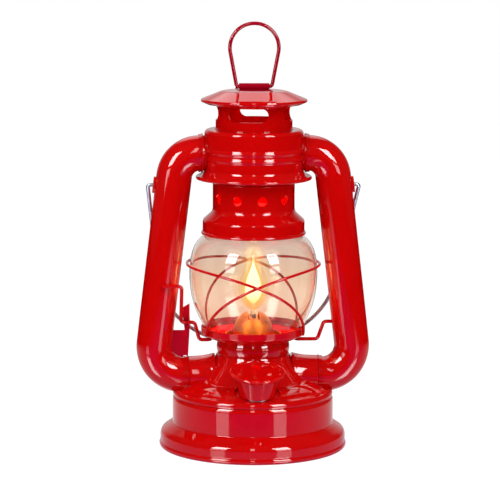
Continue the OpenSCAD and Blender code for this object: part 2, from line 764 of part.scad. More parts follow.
module chimney_spring() {
    color(steel) swept_wire(spring_path, spring_wire_r, 6);
}

module globe_plate() {
    vents = 16;
    vent_r = 1.1;
    vent_ring_r = (plate_hole_r + globe_foot_r - 2.6) / 2;
    color(enamel) difference() {
        spun_sheet(plate_line);
        for (i = [0 : vents - 1]) rotate([0, 0, 360 * i / vents])
            translate([vent_ring_r, 0, plate_z - 1]) cylinder(r = vent_r, h = 3, $fn = 24);
    }
}

module globe() {
    color("bisque", 0.4) spun_sheet(globe_line, glass_t);
}

// Each guard wire rises from the plate's rim round the front and the back to the far side of the glass
guard_from = 26;
guard_low_z = ledge_z + 1;
guard_high_z = globe_belly_z + 4.4;
guard_steps = 24;
guard_inner_r = globe_r + 0.4 + guard_wire_r;
guard_foot_r = plate_r + seat_gap + guard_wire_r;
guard_cross = 1.2;
// How early a wire climbs at the front and at the back, and how much sooner it clears the glass than it climbs
guard_front_climb = 2.85;
guard_back_climb = 4.6;
guard_swell = 2.15;
function guard_point(a, side, far_r) =
    let (t = (abs(a) - guard_from) / (180 - guard_from),
         climb = a < 0 ? guard_front_climb : guard_back_climb,
         r = guard_foot_r + (far_r - guard_foot_r) * (1 - (1 - t) ^ (guard_swell * climb)),
         z = guard_low_z + (guard_high_z - guard_low_z) * (1 - (1 - t) ^ climb))
    [side * r * cos(a), r * sin(a), z];
// The wires pass each other at the front and the back, one inside the other, and both end at the inner radius
function guard_far(a, outer) = guard_inner_r + (outer ? guard_cross * abs(sin(a)) ^ 0.8 : 0);
function guard_path(side, outer) = concat(
    [for (i = [0 : guard_steps])
        let (a = -guard_from - (180 - guard_from) * i / guard_steps)
        guard_point(a, side, guard_far(a, outer))],
    [for (i = [1 : guard_steps])
        let (a = 180 - (180 - guard_from) * i / guard_steps)
        guard_point(a, side, guard_far(a, outer))]);

module left_guard_wire() {
    color(enamel) swept_wire(guard_path(1, true), guard_wire_r, 8);
}

module right_guard_wire() {
    color(enamel) swept_wire(guard_path(-1, false), guard_wire_r, 8);
}

module globe_cap() {
    hole_z = drum_top_z + 9.7;
    first_hole = -81.6;
    color(enamel) difference() {
        union() {
            spun_sheet(cap_line);
            rotate_extrude() translate([cap_drum_r - rim_wire / 4, drum_top_z - cap_drum_h + rim_wire])
                circle(r = rim_wire);
        }
        for (i = [0 : perf_count - 1]) rotate([0, 0, first_hole + 360 * i / perf_count])
            translate([0, 0, hole_z]) x_bar(perf_neck_r - 4, perf_neck_r + 2, perf_hole_r);
        spun_ring(globe_top_r - 3, globe_top_r + move_gap, drum_top_z - cap_drum_h - 1, glass_top_z + move_gap);
    }
}

slot_z = canopy_top_z + 7.85;
chimney_foot_z = perf_top_z - sheet - seat_gap;
hood_slope = hood_cone_h / (hood_r - hood_flat_r);
chimney_top_z = hood_top_z - (chimney_r - hood_flat_r) * hood_slope - 1.25 * sheet - 0.1;
module chimney_tube() {
    slot_run = slot_w - slot_h;
    flange_r = perf_neck_r - drum_round - seat_gap;
    color(enamel) difference() {
        union() {
            spun_ring(chimney_r - sheet, chimney_r, chimney_foot_z - sheet, chimney_top_z);
            spun_ring(chimney_r - sheet, flange_r, chimney_foot_z - sheet, chimney_foot_z);
        }
        for (i = [0 : 3]) rotate([0, 0, slot_turn + 90 * i]) translate([0, -chimney_r - 3, slot_z])
            rotate([-90, 0, 0]) linear_extrude(chimney_r / 2) {
                square([slot_run, slot_h], center = true);
                for (end = [-1, 1]) translate([end * slot_run / 2, 0]) circle(d = slot_h);
            }
    }
}

module hood() {
    color(enamel) spun_sheet(hood_line);
}

module hood_strap() {
    under = beside(hood_line, -seat_gap);
    over = beside(hood_line, -seat_gap - strap_t);
    reach = hood_r + 2 * strap_t;
    color(enamel) difference() {
        union() {
            intersection() {
                rotate_extrude() polygon(concat(flip(under), over));
                translate([0, 0, hood_z - 1]) linear_extrude(knuckle_z - hood_z + 1) for (turn = [0, 180])
                    rotate([0, 0, turn]) polygon([[-strap_w / 2, 0], [-strap_lip_w / 2, -reach],
                                                  [strap_lip_w / 2, -reach], [strap_w / 2, 0]]);
            }
            translate([0, 0, knuckle_z]) x_bar(-strap_w / 2, strap_w / 2, knuckle_r);
        }
        translate([0, 0, knuckle_z]) x_bar(-strap_w, strap_w, ring_wire_r + pin_gap);
    }
}

module lift_ring() {
    foot_x = strap_w / 2 + ring_wire_r + move_gap;
    foot_bend = 1.2;
    top_z = knuckle_z + ring_h;
    path = [[0, 0, knuckle_z], [foot_x, 0, knuckle_z], [ring_corner_x, 0, top_z],
            [-ring_corner_x, 0, top_z], [-foot_x, 0, knuckle_z], [0, 0, knuckle_z]];
    color(enamel) bent_bar(path, [foot_bend, ring_bend, ring_bend, foot_bend], ring_wire_r);
}

// Lugs on the outer sides of the tubes, each with the hole for one end of the bail
ear_t = 1;
ear_w = 5;
ear_above = 3;
ear_below = 5;
module bail_ears() {
    color(enamel) for (side = [0, 1]) mirror([side, 0, 0]) difference() {
        translate([tube_x(bail_z), 0, bail_z]) rotate([0, 90 - tube_lean, 0]) linear_extrude(tube_r + ear_t) {
            translate([-ear_above + ear_w / 2, -ear_w / 2]) square([ear_above + ear_below - ear_w, ear_w]);
            for (x = [-ear_above + ear_w / 2, ear_below - ear_w / 2]) translate([x, 0]) circle(d = ear_w);
        }
        tube_solid(1, tube_r + seat_gap);
        translate([0, 0, bail_z]) x_bar(tube_x(bail_z), frame_foot_x + tube_r, bail_wire_r + pin_gap);
    }
}

module bail() {
    pin_end_x = tube_x(bail_z) + tube_r / cos(tube_lean) + move_gap;
    pivot_bend = 1.4;
    function hung(x, w) = [x, w * sin(bail_tilt), bail_z - w * cos(bail_tilt)];
    path = [hung(-pin_end_x, 0), hung(-bail_arm_x, 0), hung(bail_set - bail_corner_x, bail_reach),
            hung(bail_set + bail_corner_x, bail_reach), hung(bail_arm_x, 0), hung(pin_end_x, 0)];
    color(steel) bent_bar(path, [pivot_bend, bail_bend, bail_bend, pivot_bend], bail_wire_r);
}

// Plate in the inner corner of the left tube, with a flange that holds the lever
bracket_t = 0.8;
bracket_y = lever_wire_r + move_gap;
flange_set = 2.1;
flange_x = flange_set - run_end_x;
module lift_bracket() {
    foot_sink = 1;
    shelf_drop = 4;
    tip_rise = 9;
    tip_slope = 2.2;
    tip_w = 2.9;
    waist_w = 1.6;
    flange_r = 3;
    foot_z = tube_foot_z + tube_r - foot_sink;
    shelf_z = lever_z - shelf_drop;
    tip_z = lever_z + tip_rise;
    plate = [[-frame_foot_x, foot_z], [flange_x, foot_z], [flange_x + bracket_t, shelf_z],
             [flange_x + bracket_t, tip_z], [flange_x - tip_w, tip_z - tip_slope], [flange_x - waist_w, shelf_z],
             [-frame_foot_x, shelf_z]];
    color(enamel) difference() {
        union() {
            translate([0, bracket_y + bracket_t, 0]) rotate([90, 0, 0]) linear_extrude(bracket_t) polygon(plate);
            translate([flange_x, 0, lever_z]) x_bar(0, bracket_t, flange_r);
            translate([flange_x, 0, lever_z - flange_r]) cube([bracket_t, bracket_y + bracket_t, 2 * flange_r]);
        }
        tube_solid(-1, tube_r + seat_gap);
        translate([0, 0, tube_foot_z])
            x_bar(-boot_end_x - collar_w - 4 * seat_gap, flange_x + 2, tube_r + collar_rise + seat_gap);
        translate([0, 0, lever_z]) x_bar(flange_x - 2, flange_x + 2, lever_wire_r + pin_gap);
    }
}

module lift_lever() {
    arm_x = flange_x - 3.4;
    grip_y = -tube_r - lever_wire_r - move_gap;
    pin_x = tube_x(lever_z) - tube_r / cos(tube_lean) + 2 * sheet;
    s_bend = 1.8;
    path = [[arm_x - handle_l, grip_y, lever_z + handle_h],
            [arm_x, grip_y, lever_z + handle_h],
            [arm_x, 0, lever_z],
            [flange_x + 3.2, 0, lever_z],
            [flange_x + 5.4, 0, yoke_z],
            [-yoke_x, 0, yoke_z],
            [-yoke_x, yoke_y, yoke_z],
            [yoke_x, yoke_y, yoke_z],
            [yoke_x, 0, yoke_z],
            [pin_x - 8, 0, yoke_z],
            [pin_x - 5, 0, lever_z],
            [pin_x, 0, lever_z]];
    bends = [s_bend, s_bend, s_bend, s_bend, s_bend, yoke_x - 0.2, yoke_x - 0.2, s_bend, s_bend, s_bend];
    color(enamel) bent_bar(path, bends, lever_wire_r);
}

tank_bowl();
tank_floor();
tank_top();
filler_neck();
cap_gasket();
filler_cap();
air_chamber();
burner_body();
wick_tube();
burner_cone();
wick();
wick_shaft();
wick_knob();
left_tube();
right_tube();
tube_collars();
canopy();
chimney_spring();
globe_plate();
globe();
left_guard_wire();
right_guard_wire();
globe_cap();
chimney_tube();
hood();
hood_strap();
lift_ring();
bail_ears();
bail();
lift_bracket();
lift_lever();
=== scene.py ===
"""Looks of a red enamelled hurricane lantern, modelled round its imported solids."""
import json
import math

import bpy
from mathutils import Matrix, Vector


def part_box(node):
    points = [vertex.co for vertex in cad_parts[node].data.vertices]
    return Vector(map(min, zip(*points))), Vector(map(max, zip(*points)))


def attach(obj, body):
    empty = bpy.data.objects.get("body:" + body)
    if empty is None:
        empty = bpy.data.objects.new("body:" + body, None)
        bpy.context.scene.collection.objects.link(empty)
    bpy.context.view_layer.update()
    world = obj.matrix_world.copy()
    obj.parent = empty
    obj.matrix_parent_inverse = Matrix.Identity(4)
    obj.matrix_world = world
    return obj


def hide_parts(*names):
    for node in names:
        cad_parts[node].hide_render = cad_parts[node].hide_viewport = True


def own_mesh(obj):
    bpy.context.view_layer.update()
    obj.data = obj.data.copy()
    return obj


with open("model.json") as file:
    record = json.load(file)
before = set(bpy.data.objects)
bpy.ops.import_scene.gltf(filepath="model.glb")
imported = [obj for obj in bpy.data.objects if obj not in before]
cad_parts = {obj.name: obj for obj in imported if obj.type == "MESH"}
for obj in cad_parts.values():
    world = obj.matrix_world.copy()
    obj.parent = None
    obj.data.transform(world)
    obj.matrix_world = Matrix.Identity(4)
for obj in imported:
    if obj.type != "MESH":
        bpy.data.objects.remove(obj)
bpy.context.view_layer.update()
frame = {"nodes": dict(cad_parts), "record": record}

MM = 0.001
record = frame["record"]
body_of = {node: body for body, nodes in record["behaviour"]["bodies"].items() for node in nodes}
slot_of = {part["node"]: part["material_slot"] for part in record["subparts"]}


def low(node):
    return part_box(node)[0]


def high(node):
    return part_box(node)[1]


# Sizes of the pressed shells, in the frame's metres
sheet = 0.6 * MM
seat_gap = 0.05 * MM
merge_gap = MM / 1000
skirt_r = high("tank_bowl").x
skirt_h = 11.6 * MM
wall_r = 38.8 * MM
seam_z = high("tank_bowl").z
rim_z = seam_z + 3.4 * MM
shoulder_r = 2.4 * MM
boss_foot_r = 25.8 * MM
crown_z = rim_z + 4.2 * MM
boss_lip_z = high("tank_top").z
boss_top_z = boss_lip_z - 0.9 * MM
chamber_r = high("air_chamber").x - 0.7 * MM
chamber_bulge = 0.7 * MM
chamber_floor_z = low("air_chamber").z
chamber_top_z = high("air_chamber").z
plate_z = low("globe_plate").z
plate_r = high("globe_plate").x
plate_top_z = high("globe_plate").z
plate_hole_r = 14.8 * MM
ledge_z = plate_z + 1.9 * MM
globe_foot_z = low("globe").z
globe_top_z = high("globe").z
globe_r = high("globe").x
globe_belly_z = globe_foot_z + 0.527 * (globe_top_z - globe_foot_z)
globe_foot_r = 23 * MM
globe_top_r = 22.8 * MM
glass_t = 1.2 * MM
cap_drum_r = 24.4 * MM
cap_low_z = low("globe_cap").z
perf_top_z = high("globe_cap").z
drum_top_z = perf_top_z - 17.3 * MM
perf_neck_r = 19.6 * MM
chimney_r = 18.3 * MM
canopy_r = 23.6 * MM
canopy_rim_r = high("canopy").x
canopy_rim_z = low("canopy").z
canopy_top_z = high("canopy").z
rim_wire = 0.9 * MM
hood_r = high("hood").x
hood_z = low("hood").z
hood_top_z = high("hood").z
hood_lip_z = hood_z + 2.6 * MM
hood_flat_r = 15 * MM

tube_r = 8.5 * MM
tube_foot_z = low("right_tube").z + tube_r
tube_top_z = high("right_tube").z - tube_r
frame_top_x = 36.75 * MM
frame_foot_x = 49.6 * MM
upper_bend = 12.1 * MM
lower_bend = 14.3 * MM
boot_end_x = high("tube_collars").x - 2.05 * MM
boot_gap = 0.1 * MM


# Outlines: points of arcs and curves, and a sheet's two faces
def arc(centre, rx, rz, start, end, steps):
    angles = [math.radians(start + (end - start) * i / steps) for i in range(steps + 1)]
    return [(centre[0] + rx * math.cos(a), centre[1] + rz * math.sin(a)) for a in angles]


def bow(points, steps):
    """Points along the curve that the given control points pull."""
    line = []
    for i in range(steps + 1):
        t = i / steps
        left = [Vector(p) for p in points]
        while len(left) > 1:
            left = [a.lerp(b, t) for a, b in zip(left, left[1:])]
        line.append(tuple(left[0]))
    return line


def left_normal(a, b):
    step = (Vector(b) - Vector(a)).normalized()
    return Vector((-step.y, step.x))


def beside(line, distance):
    """The same line moved to its left."""
    moved = []
    for i, point in enumerate(line):
        near = [left_normal(line[k], line[k + 1]) for k in (i - 1, i) if 0 <= k < len(line) - 1]
        shift = sum(near, Vector((0, 0))) / (1 + near[0].dot(near[-1]) if len(near) > 1 else 1)
        moved.append(tuple(Vector(point) + distance * shift))
    return moved


def sheet_outline(line, thickness=sheet):
    return line + beside(line, thickness)[::-1]


def held(outline, near=0.12 * MM):
    """The outline with a point close to both ends of each long leg, so that its face stays flat."""
    points = []
    for a, b in zip(outline, outline[1:] + outline[:1]):
        points.append(a)
        leg = Vector(b) - Vector(a)
        if leg.length > 8 * near and a[0] + b[0] > 0:
            step = near * leg.normalized()
            points += [tuple(Vector(a) + step), tuple(Vector(b) - step)]
    return points


# Modelling steps that the pieces share
def deselect():
    bpy.ops.object.select_all(action="DESELECT")


def smooth(piece, angle=32):
    deselect()
    piece.select_set(True)
    bpy.context.view_layer.objects.active = piece
    bpy.ops.object.shade_smooth_by_angle(angle=math.radians(angle))


def turned(name, outline, steps=144, centre=(0, 0, 0), axis=(0, 0, 1), side=(1, 0, 0)):
    """A closed outline of (distance from the axis, place along it), spun about the axis."""
    axis, side, centre = Vector(axis), Vector(side), Vector(centre)
    outline = held(outline)
    places = [centre + r * side + z * axis for r, z in outline + outline[:1]]
    deselect()
    bpy.ops.mesh.primitive_plane_add(size=MM)
    piece = bpy.context.object
    piece.name = name
    bpy.ops.object.mode_set(mode="EDIT")
    bpy.ops.mesh.merge(type="CENTER")
    bpy.ops.transform.translate(value=places[0])
    for before, after in zip(places, places[1:]):
        bpy.ops.mesh.extrude_vertices_move(TRANSFORM_OT_translate={"value": after - before})
    bpy.ops.mesh.select_all(action="SELECT")
    bpy.ops.mesh.spin(steps=steps, angle=2 * math.pi, center=centre, axis=axis)
    bpy.ops.mesh.select_all(action="SELECT")
    bpy.ops.mesh.remove_doubles(threshold=merge_gap)
    bpy.ops.mesh.delete_loose()
    bpy.ops.mesh.select_all(action="SELECT")
    bpy.ops.mesh.normals_make_consistent(inside=False)
    bpy.ops.object.mode_set(mode="OBJECT")
    smooth(piece)
    return piece


def bent(name, corners, bends, radius, sides=32, steps=14, open_ends=False):
    """A round bar along a path of corners, extruded along the legs and spun round the bends."""
    corners = [Vector(c) for c in corners]
    heading = [(b - a).normalized() for a, b in zip(corners, corners[1:])]
    deselect()
    bpy.ops.mesh.primitive_circle_add(
        vertices=sides, radius=radius, location=corners[0],
        rotation=heading[0].to_track_quat("Z", "Y").to_euler())
    piece = bpy.context.object
    piece.name = name
    bpy.ops.object.transform_apply()
    bpy.ops.object.mode_set(mode="EDIT")
    bpy.ops.mesh.select_all(action="SELECT")
    here = corners[0]
    for i, along in enumerate(heading):
        turn = along.angle(heading[i + 1]) if i + 1 < len(heading) else 0
        cut = bends[i] * math.tan(turn / 2) if turn else 0
        to = corners[i + 1] - cut * along
        bpy.ops.mesh.extrude_region_move(TRANSFORM_OT_translate={"value": to - here})
        here = to
        if turn:
            hinge = along.cross(heading[i + 1]).normalized()
            bpy.ops.mesh.spin(
                steps=steps, angle=-turn, center=to + bends[i] * hinge.cross(along), axis=hinge)
            here = corners[i + 1] + cut * heading[i + 1]
    bpy.ops.mesh.select_all(action="SELECT")
    bpy.ops.mesh.remove_doubles(threshold=merge_gap)
    if not open_ends:
        bpy.ops.mesh.select_all(action="DESELECT")
        bpy.ops.mesh.select_non_manifold()
        bpy.ops.mesh.edge_face_add()
    bpy.ops.mesh.select_all(action="SELECT")
    bpy.ops.mesh.normals_make_consistent(inside=False)
    bpy.ops.object.mode_set(mode="OBJECT")
    smooth(piece)
    return piece


def wire_through(name, points, radius, sides=20):
    """A wire through close points, with each corner rounded as widely as its legs allow."""
    points = [Vector(p) for p in points]
    bends = []
    for a, b, c in zip(points, points[1:], points[2:]):
        half = 0.49 * min((b - a).length, (c - b).length)
        bends.append(half / math.tan((b - a).angle(c - b) / 2))
    return bent(name, points, bends, radius, sides=sides, steps=3)


def apply_modifiers(piece):
    deselect()
    piece.select_set(True)
    bpy.context.view_layer.objects.active = piece
    for modifier in list(piece.modifiers):
        bpy.ops.object.modifier_apply(modifier=modifier.name)


def carve(piece, other, operation="DIFFERENCE"):
    """Cuts the other piece out, or joins it on, drops it, and closes the slivers that a cut leaves."""
    modifier = piece.modifiers.new("carve", "BOOLEAN")
    modifier.operation = operation
    modifier.solver = "EXACT"
    modifier.object = other
    apply_modifiers(piece)
    bpy.data.objects.remove(other)
    bpy.ops.object.mode_set(mode="EDIT")
    bpy.ops.mesh.select_all(action="SELECT")
    bpy.ops.mesh.remove_doubles(threshold=merge_gap)
    bpy.ops.mesh.dissolve_degenerate(threshold=merge_gap)
    bpy.ops.object.mode_set(mode="OBJECT")
    smooth(piece)
    return piece


def rod(start, end, radius, sides=96):
    """A straight round bar, used for cutting."""
    return bent("rod", [start, end], [], radius, sides=sides)


# Finishes
def finish_nodes(name):
    made = bpy.data.materials.new(name)
    made.use_nodes = True
    nodes, links = made.node_tree.nodes, made.node_tree.links
    shader = nodes["Principled BSDF"]
    place = nodes.new("ShaderNodeTexCoord").outputs["Object"]
    return made, nodes, links, shader, place


def noise(nodes, links, place, scale, detail=3, rough=0.5):
    made = nodes.new("ShaderNodeTexNoise")
    made.inputs["Scale"].default_value = scale
    made.inputs["Detail"].default_value = detail
    made.inputs["Roughness"].default_value = rough
    links.new(place, made.inputs["Vector"])
    return made.outputs["Fac"]


def ramp(nodes, links, value, stops):
    made = nodes.new("ShaderNodeValToRGB")
    elements = made.color_ramp.elements
    while len(elements) < len(stops):
        elements.new(0.5)
    for element, (position, colour) in zip(elements, stops):
        element.position = position
        element.color = (*colour, 1)
    links.new(value, made.inputs["Fac"])
    return made.outputs["Color"]


def spread(nodes, links, value, low_value, high_value, from_low=0.3, from_high=0.7):
    made = nodes.new("ShaderNodeMapRange")
    made.inputs["From Min"].default_value = from_low
    made.inputs["From Max"].default_value = from_high
    made.inputs["To Min"].default_value = low_value
    made.inputs["To Max"].default_value = high_value
    links.new(value, made.inputs["Value"])
    return made.outputs["Result"]


def bump(nodes, links, value, strength, depth, shader):
    made = nodes.new("ShaderNodeBump")
    made.inputs["Strength"].default_value = strength
    made.inputs["Distance"].default_value = depth
    links.new(value, made.inputs["Height"])
    links.new(made.outputs["Normal"], shader.inputs["Normal"])
    return made


def red_enamel():
    made, nodes, links, shader, place = finish_nodes("red_enamel")
    tone = noise(nodes, links, place, 42, detail=4)
    scarlet = ramp(nodes, links, tone, [(0.3, (0.58, 0.0012, 0.0012)), (0.7, (0.64, 0.0018, 0.002))])
    # Above the hood top, on the ring, the enamel is a darker, bluer crimson.
    crimson = ramp(nodes, links, tone, [(0.3, (0.36, 0.001, 0.012)), (0.7, (0.42, 0.0015, 0.016))])
    height = nodes.new("ShaderNodeSeparateXYZ")
    links.new(place, height.inputs["Vector"])
    ring_share = spread(nodes, links, height.outputs["Z"], 0, 1, hood_top_z, hood_top_z + 0.8 * MM)
    crimson_above_hood = nodes.new("ShaderNodeMix")
    crimson_above_hood.data_type = "RGBA"
    links.new(ring_share, crimson_above_hood.inputs["Factor"])
    links.new(scarlet, crimson_above_hood.inputs["A"])
    links.new(crimson, crimson_above_hood.inputs["B"])
    links.new(crimson_above_hood.outputs["Result"], shader.inputs["Base Color"])
    haze = noise(nodes, links, place, 160, detail=2)
    links.new(spread(nodes, links, haze, 0.16, 0.24), shader.inputs["Roughness"])
    peel = noise(nodes, links, place, 420, detail=1)
    bump(nodes, links, peel, 0.05, 0.05 * MM, shader)
    shader.inputs["Coat Weight"].default_value = 1
    shader.inputs["Coat Roughness"].default_value = 0.03
    shader.inputs["Coat IOR"].default_value = 1.5
    shader.inputs["Specular IOR Level"].default_value = 0
    return made


def zinc(name, brush_scale):
    made, nodes, links, shader, place = finish_nodes(name)
    spangle = nodes.new("ShaderNodeTexVoronoi")
    spangle.inputs["Scale"].default_value = 380
    links.new(place, spangle.inputs["Vector"])
    links.new(ramp(nodes, links, spangle.outputs["Distance"],
                   [(0.1, (0.46, 0.47, 0.49)), (0.8, (0.62, 0.63, 0.65))]), shader.inputs["Base Color"])
    scratch = noise(nodes, links, place, brush_scale, detail=5, rough=0.7)
    links.new(spread(nodes, links, scratch, 0.24, 0.42), shader.inputs["Roughness"])
    bump(nodes, links, scratch, 0.12, 0.03 * MM, shader)
    shader.inputs["Metallic"].default_value = 1
    return made


def burner_brass():
    made, nodes, links, shader, place = finish_nodes("burner_brass")
    stain = noise(nodes, links, place, 150, detail=5, rough=0.65)
    links.new(ramp(nodes, links, stain, [(0.3, (0.60, 0.22, 0.045)), (0.6, (0.84, 0.37, 0.09))]),
              shader.inputs["Base Color"])
    rings = nodes.new("ShaderNodeTexWave")
    rings.wave_type = "RINGS"
    rings.rings_direction = "Z"
    rings.inputs["Scale"].default_value = 700
    rings.inputs["Distortion"].default_value = 1.2
    links.new(place, rings.inputs["Vector"])
    links.new(spread(nodes, links, stain, 0.26, 0.42), shader.inputs["Roughness"])
    bump(nodes, links, rings.outputs["Fac"], 0.08, 0.03 * MM, shader)
    shader.inputs["Metallic"].default_value = 1
    return made


def wick_cotton():
    made, nodes, links, shader, place = finish_nodes("wick_cotton")
    height = nodes.new("ShaderNodeSeparateXYZ")
    links.new(place, height.inputs["Vector"])
    char = spread(nodes, links, height.outputs["Z"], 0, 1, wick_top_z - 3.2 * MM, wick_top_z - 0.8 * MM)
    links.new(ramp(nodes, links, char, [(0.0, (0.72, 0.66, 0.52)), (0.45, (0.30, 0.16, 0.06)),
                                        (0.9, (0.015, 0.012, 0.01))]), shader.inputs["Base Color"])
    weave = nodes.new("ShaderNodeTexWave")
    weave.bands_direction = "DIAGONAL"
    weave.inputs["Scale"].default_value = 420
    weave.inputs["Distortion"].default_value = 2.5
    links.new(place, weave.inputs["Vector"])
    bump(nodes, links, weave.outputs["Fac"], 0.6, 0.15 * MM, shader)
    shader.inputs["Roughness"].default_value = 0.95
    shader.inputs["Sheen Weight"].default_value = 0.3
    return made


def gasket_rubber():
    made, nodes, links, shader, place = finish_nodes("gasket_rubber")
    bloom = noise(nodes, links, place, 260, detail=4)
    links.new(ramp(nodes, links, bloom, [(0.35, (0.014, 0.014, 0.015)), (0.7, (0.035, 0.034, 0.033))]),
              shader.inputs["Base Color"])
    links.new(spread(nodes, links, bloom, 0.55, 0.8), shader.inputs["Roughness"])
    bump(nodes, links, bloom, 0.2, 0.05 * MM, shader)
    return made


def clear_glass():
    made, nodes, links, shader, place = finish_nodes("clear_glass")
    # The glass itself is clear: its base colour is painted flame glow, warm peach low down beside the flame
    # and greyer towards the top.
    height = nodes.new("ShaderNodeSeparateXYZ")
    links.new(place, height.inputs["Vector"])
    share = spread(nodes, links, height.outputs["Z"], 0, 1, globe_foot_z, globe_top_z)
    links.new(ramp(nodes, links, share, [(0.1, (0.90, 0.66, 0.53)), (0.32, (0.97, 0.79, 0.65)),
                                         (0.5, (0.89, 0.73, 0.60)), (0.8, (0.82, 0.70, 0.635))]),
              shader.inputs["Base Color"])
    ripple = noise(nodes, links, place, 70, detail=1)
    bump(nodes, links, ripple, 0.03, 0.2 * MM, shader)
    shader.inputs["Transmission Weight"].default_value = 1
    shader.inputs["Roughness"].default_value = 0.0
    shader.inputs["IOR"].default_value = 1.45
    return made


wick_top_z = high("wick").z
finishes = {
    "red_enamel": red_enamel(),
    "zinc_sheet": zinc("zinc_sheet", 500),
    "zinc_wire": zinc("zinc_wire", 900),
    "clear_glass": clear_glass(),
    "burner_brass": burner_brass(),
    "wick_cotton": wick_cotton(),
    "gasket_rubber": gasket_rubber(),
}


def coat(piece, slot):
    piece.data.materials.clear()
    piece.data.materials.append(finishes[slot])


def stands_for(piece, node):
    """The piece takes the place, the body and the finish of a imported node."""
    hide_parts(node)
    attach(piece, body_of[node])
    coat(piece, slot_of[node])
    return piece


# Tank: the bowl and the top both turn in towards their seam
seam_in = 0.7 * MM
seam_inner_r = wall_r - seam_in - sheet - seat_gap


def tank_bowl():
    crease, bead_r, turn_in = 0.7 * MM, 1.6 * MM, 2.4 * MM
    lip_r, lip_low, ridge_r, ridge_turn = skirt_r - 0.5 * MM, 3.2 * MM, 4 * MM, 56
    slope_r = lip_r - ridge_r * (1 - math.cos(math.radians(ridge_turn)))
    slope_h = (slope_r - wall_r - crease) / math.tan(math.radians(ridge_turn))
    ridge_z = skirt_h - slope_h - ridge_r * math.sin(math.radians(ridge_turn))
    line = (arc((skirt_r - bead_r, bead_r), bead_r, bead_r, -80, 52, 18)
            + [(lip_r, lip_low)]
            + arc((lip_r - ridge_r, ridge_z), ridge_r, ridge_r, 0, ridge_turn, 24)
            + bow([(wall_r + crease, skirt_h), (wall_r, skirt_h), (wall_r, skirt_h + crease)], 6)
            + bow([(wall_r, seam_z - turn_in), (wall_r, seam_z - 0.9 * MM), (wall_r - seam_in, seam_z)], 12))
    stands_for(turned("enamel_tank_bowl", sheet_outline(line)), "tank_bowl")


boss_top_r = chamber_r + seat_gap + sheet


def tank_top_line():
    fillet = 1.6 * MM
    foot = Vector((boss_foot_r, crown_z))
    top = Vector((boss_top_r, boss_top_z))
    flank = (top - foot).normalized()
    crown = Vector(((wall_r - shoulder_r + boss_foot_r) / 2, rim_z + 0.72 * (crown_z - rim_z)))
    inward = (foot - crown).normalized()
    return ([(wall_r - seam_in, seam_z + seat_gap)]
            + arc((wall_r - 0.2 * MM - shoulder_r, rim_z - shoulder_r), shoulder_r, shoulder_r, -20, 90, 24)
            + bow([(wall_r - shoulder_r - 0.5 * MM, rim_z), crown, foot - fillet * inward], 24)
            + bow([foot - 0.8 * fillet * inward, foot, foot + fillet * flank], 12)
            + bow([top - 4 * MM * flank, top - 1.6 * MM * flank, (boss_top_r, boss_lip_z)], 12))


filler_tilt = math.radians(12)
filler_axis = Vector((0, -math.sin(filler_tilt), math.cos(filler_tilt)))
pad_centre = Vector((0, -29.4 * MM, rim_z + 2 * MM))
pocket_r = 10.8 * MM


def boot(side):
    """A sleeve round the lower run of a tube, which swells towards the boss."""
    end_r = tube_r + boot_gap + sheet
    inner_x, swell, edge = boss_top_r + MM, 1.4 * MM, 0.3 * MM
    outline = ([(0, inner_x), (end_r + swell, inner_x)]
               + bow([(end_r + swell, inner_x + MM), (end_r, inner_x + 5 * MM),
                      (end_r, boot_end_x - edge)], 12)
               + [(end_r - edge, boot_end_x), (0, boot_end_x)])
    return turned("boot", outline, steps=96, centre=(0, 0, tube_foot_z), axis=(side, 0, 0), side=(0, 0, 1))


def tank_top():
    inner_r = chamber_r + seat_gap
    under_z = seam_z - 1.2 * MM
    outline = tank_top_line() + [(inner_r, boss_lip_z), (inner_r, under_z), (seam_inner_r, under_z),
                                 (seam_inner_r, seam_z)]
    piece = turned("enamel_tank_top", outline)
    for side in (-1, 1):
        carve(piece, boot(side), "UNION")
    carve(piece, rod((-wall_r - MM, 0, tube_foot_z), (wall_r + MM, 0, tube_foot_z), tube_r + boot_gap))
    carve(piece, rod(pad_centre, pad_centre + 14 * MM * filler_axis, pocket_r))
    carve(piece, rod(pad_centre - 12 * MM * filler_axis, pad_centre + MM * filler_axis, 7 * MM + seat_gap))
    stands_for(piece, "tank_top")


# Filler cap, turned about its tilted axis
def filler_cap():
    bore_r = 7.3 * MM
    skirt_r_top = 9.9 * MM
    head_r = 13.1 * MM
    under = 9.4 * MM
    head = under + 2.8 * MM
    edge = 0.6 * MM
    outline = ([(bore_r, 0.5 * MM), (skirt_r_top - 1.4 * MM, 0.5 * MM), (skirt_r_top - 1.2 * MM, 0.7 * MM),
                (skirt_r_top, under - 0.4 * MM)]
               + bow([(skirt_r_top + 0.4 * MM, under + 0.2 * MM), (head_r - MM, under + 0.5 * MM),
                      (head_r - 0.4 * MM, head - 1.6 * MM)], 12)
               + arc((head_r - edge, head - edge), edge, edge, -30, 90, 16)
               + bow([(head_r - 1.5 * MM, head), (head_r - 2.1 * MM, head - 0.9 * MM),
                      (head_r - 3.1 * MM, head - 0.9 * MM)], 12)
               + [(0, head - 1.1 * MM), (0, under), (bore_r, under)])
    piece = turned("enamel_filler_cap", outline, steps=96, centre=pad_centre, axis=filler_axis)
    stands_for(piece, "filler_cap")


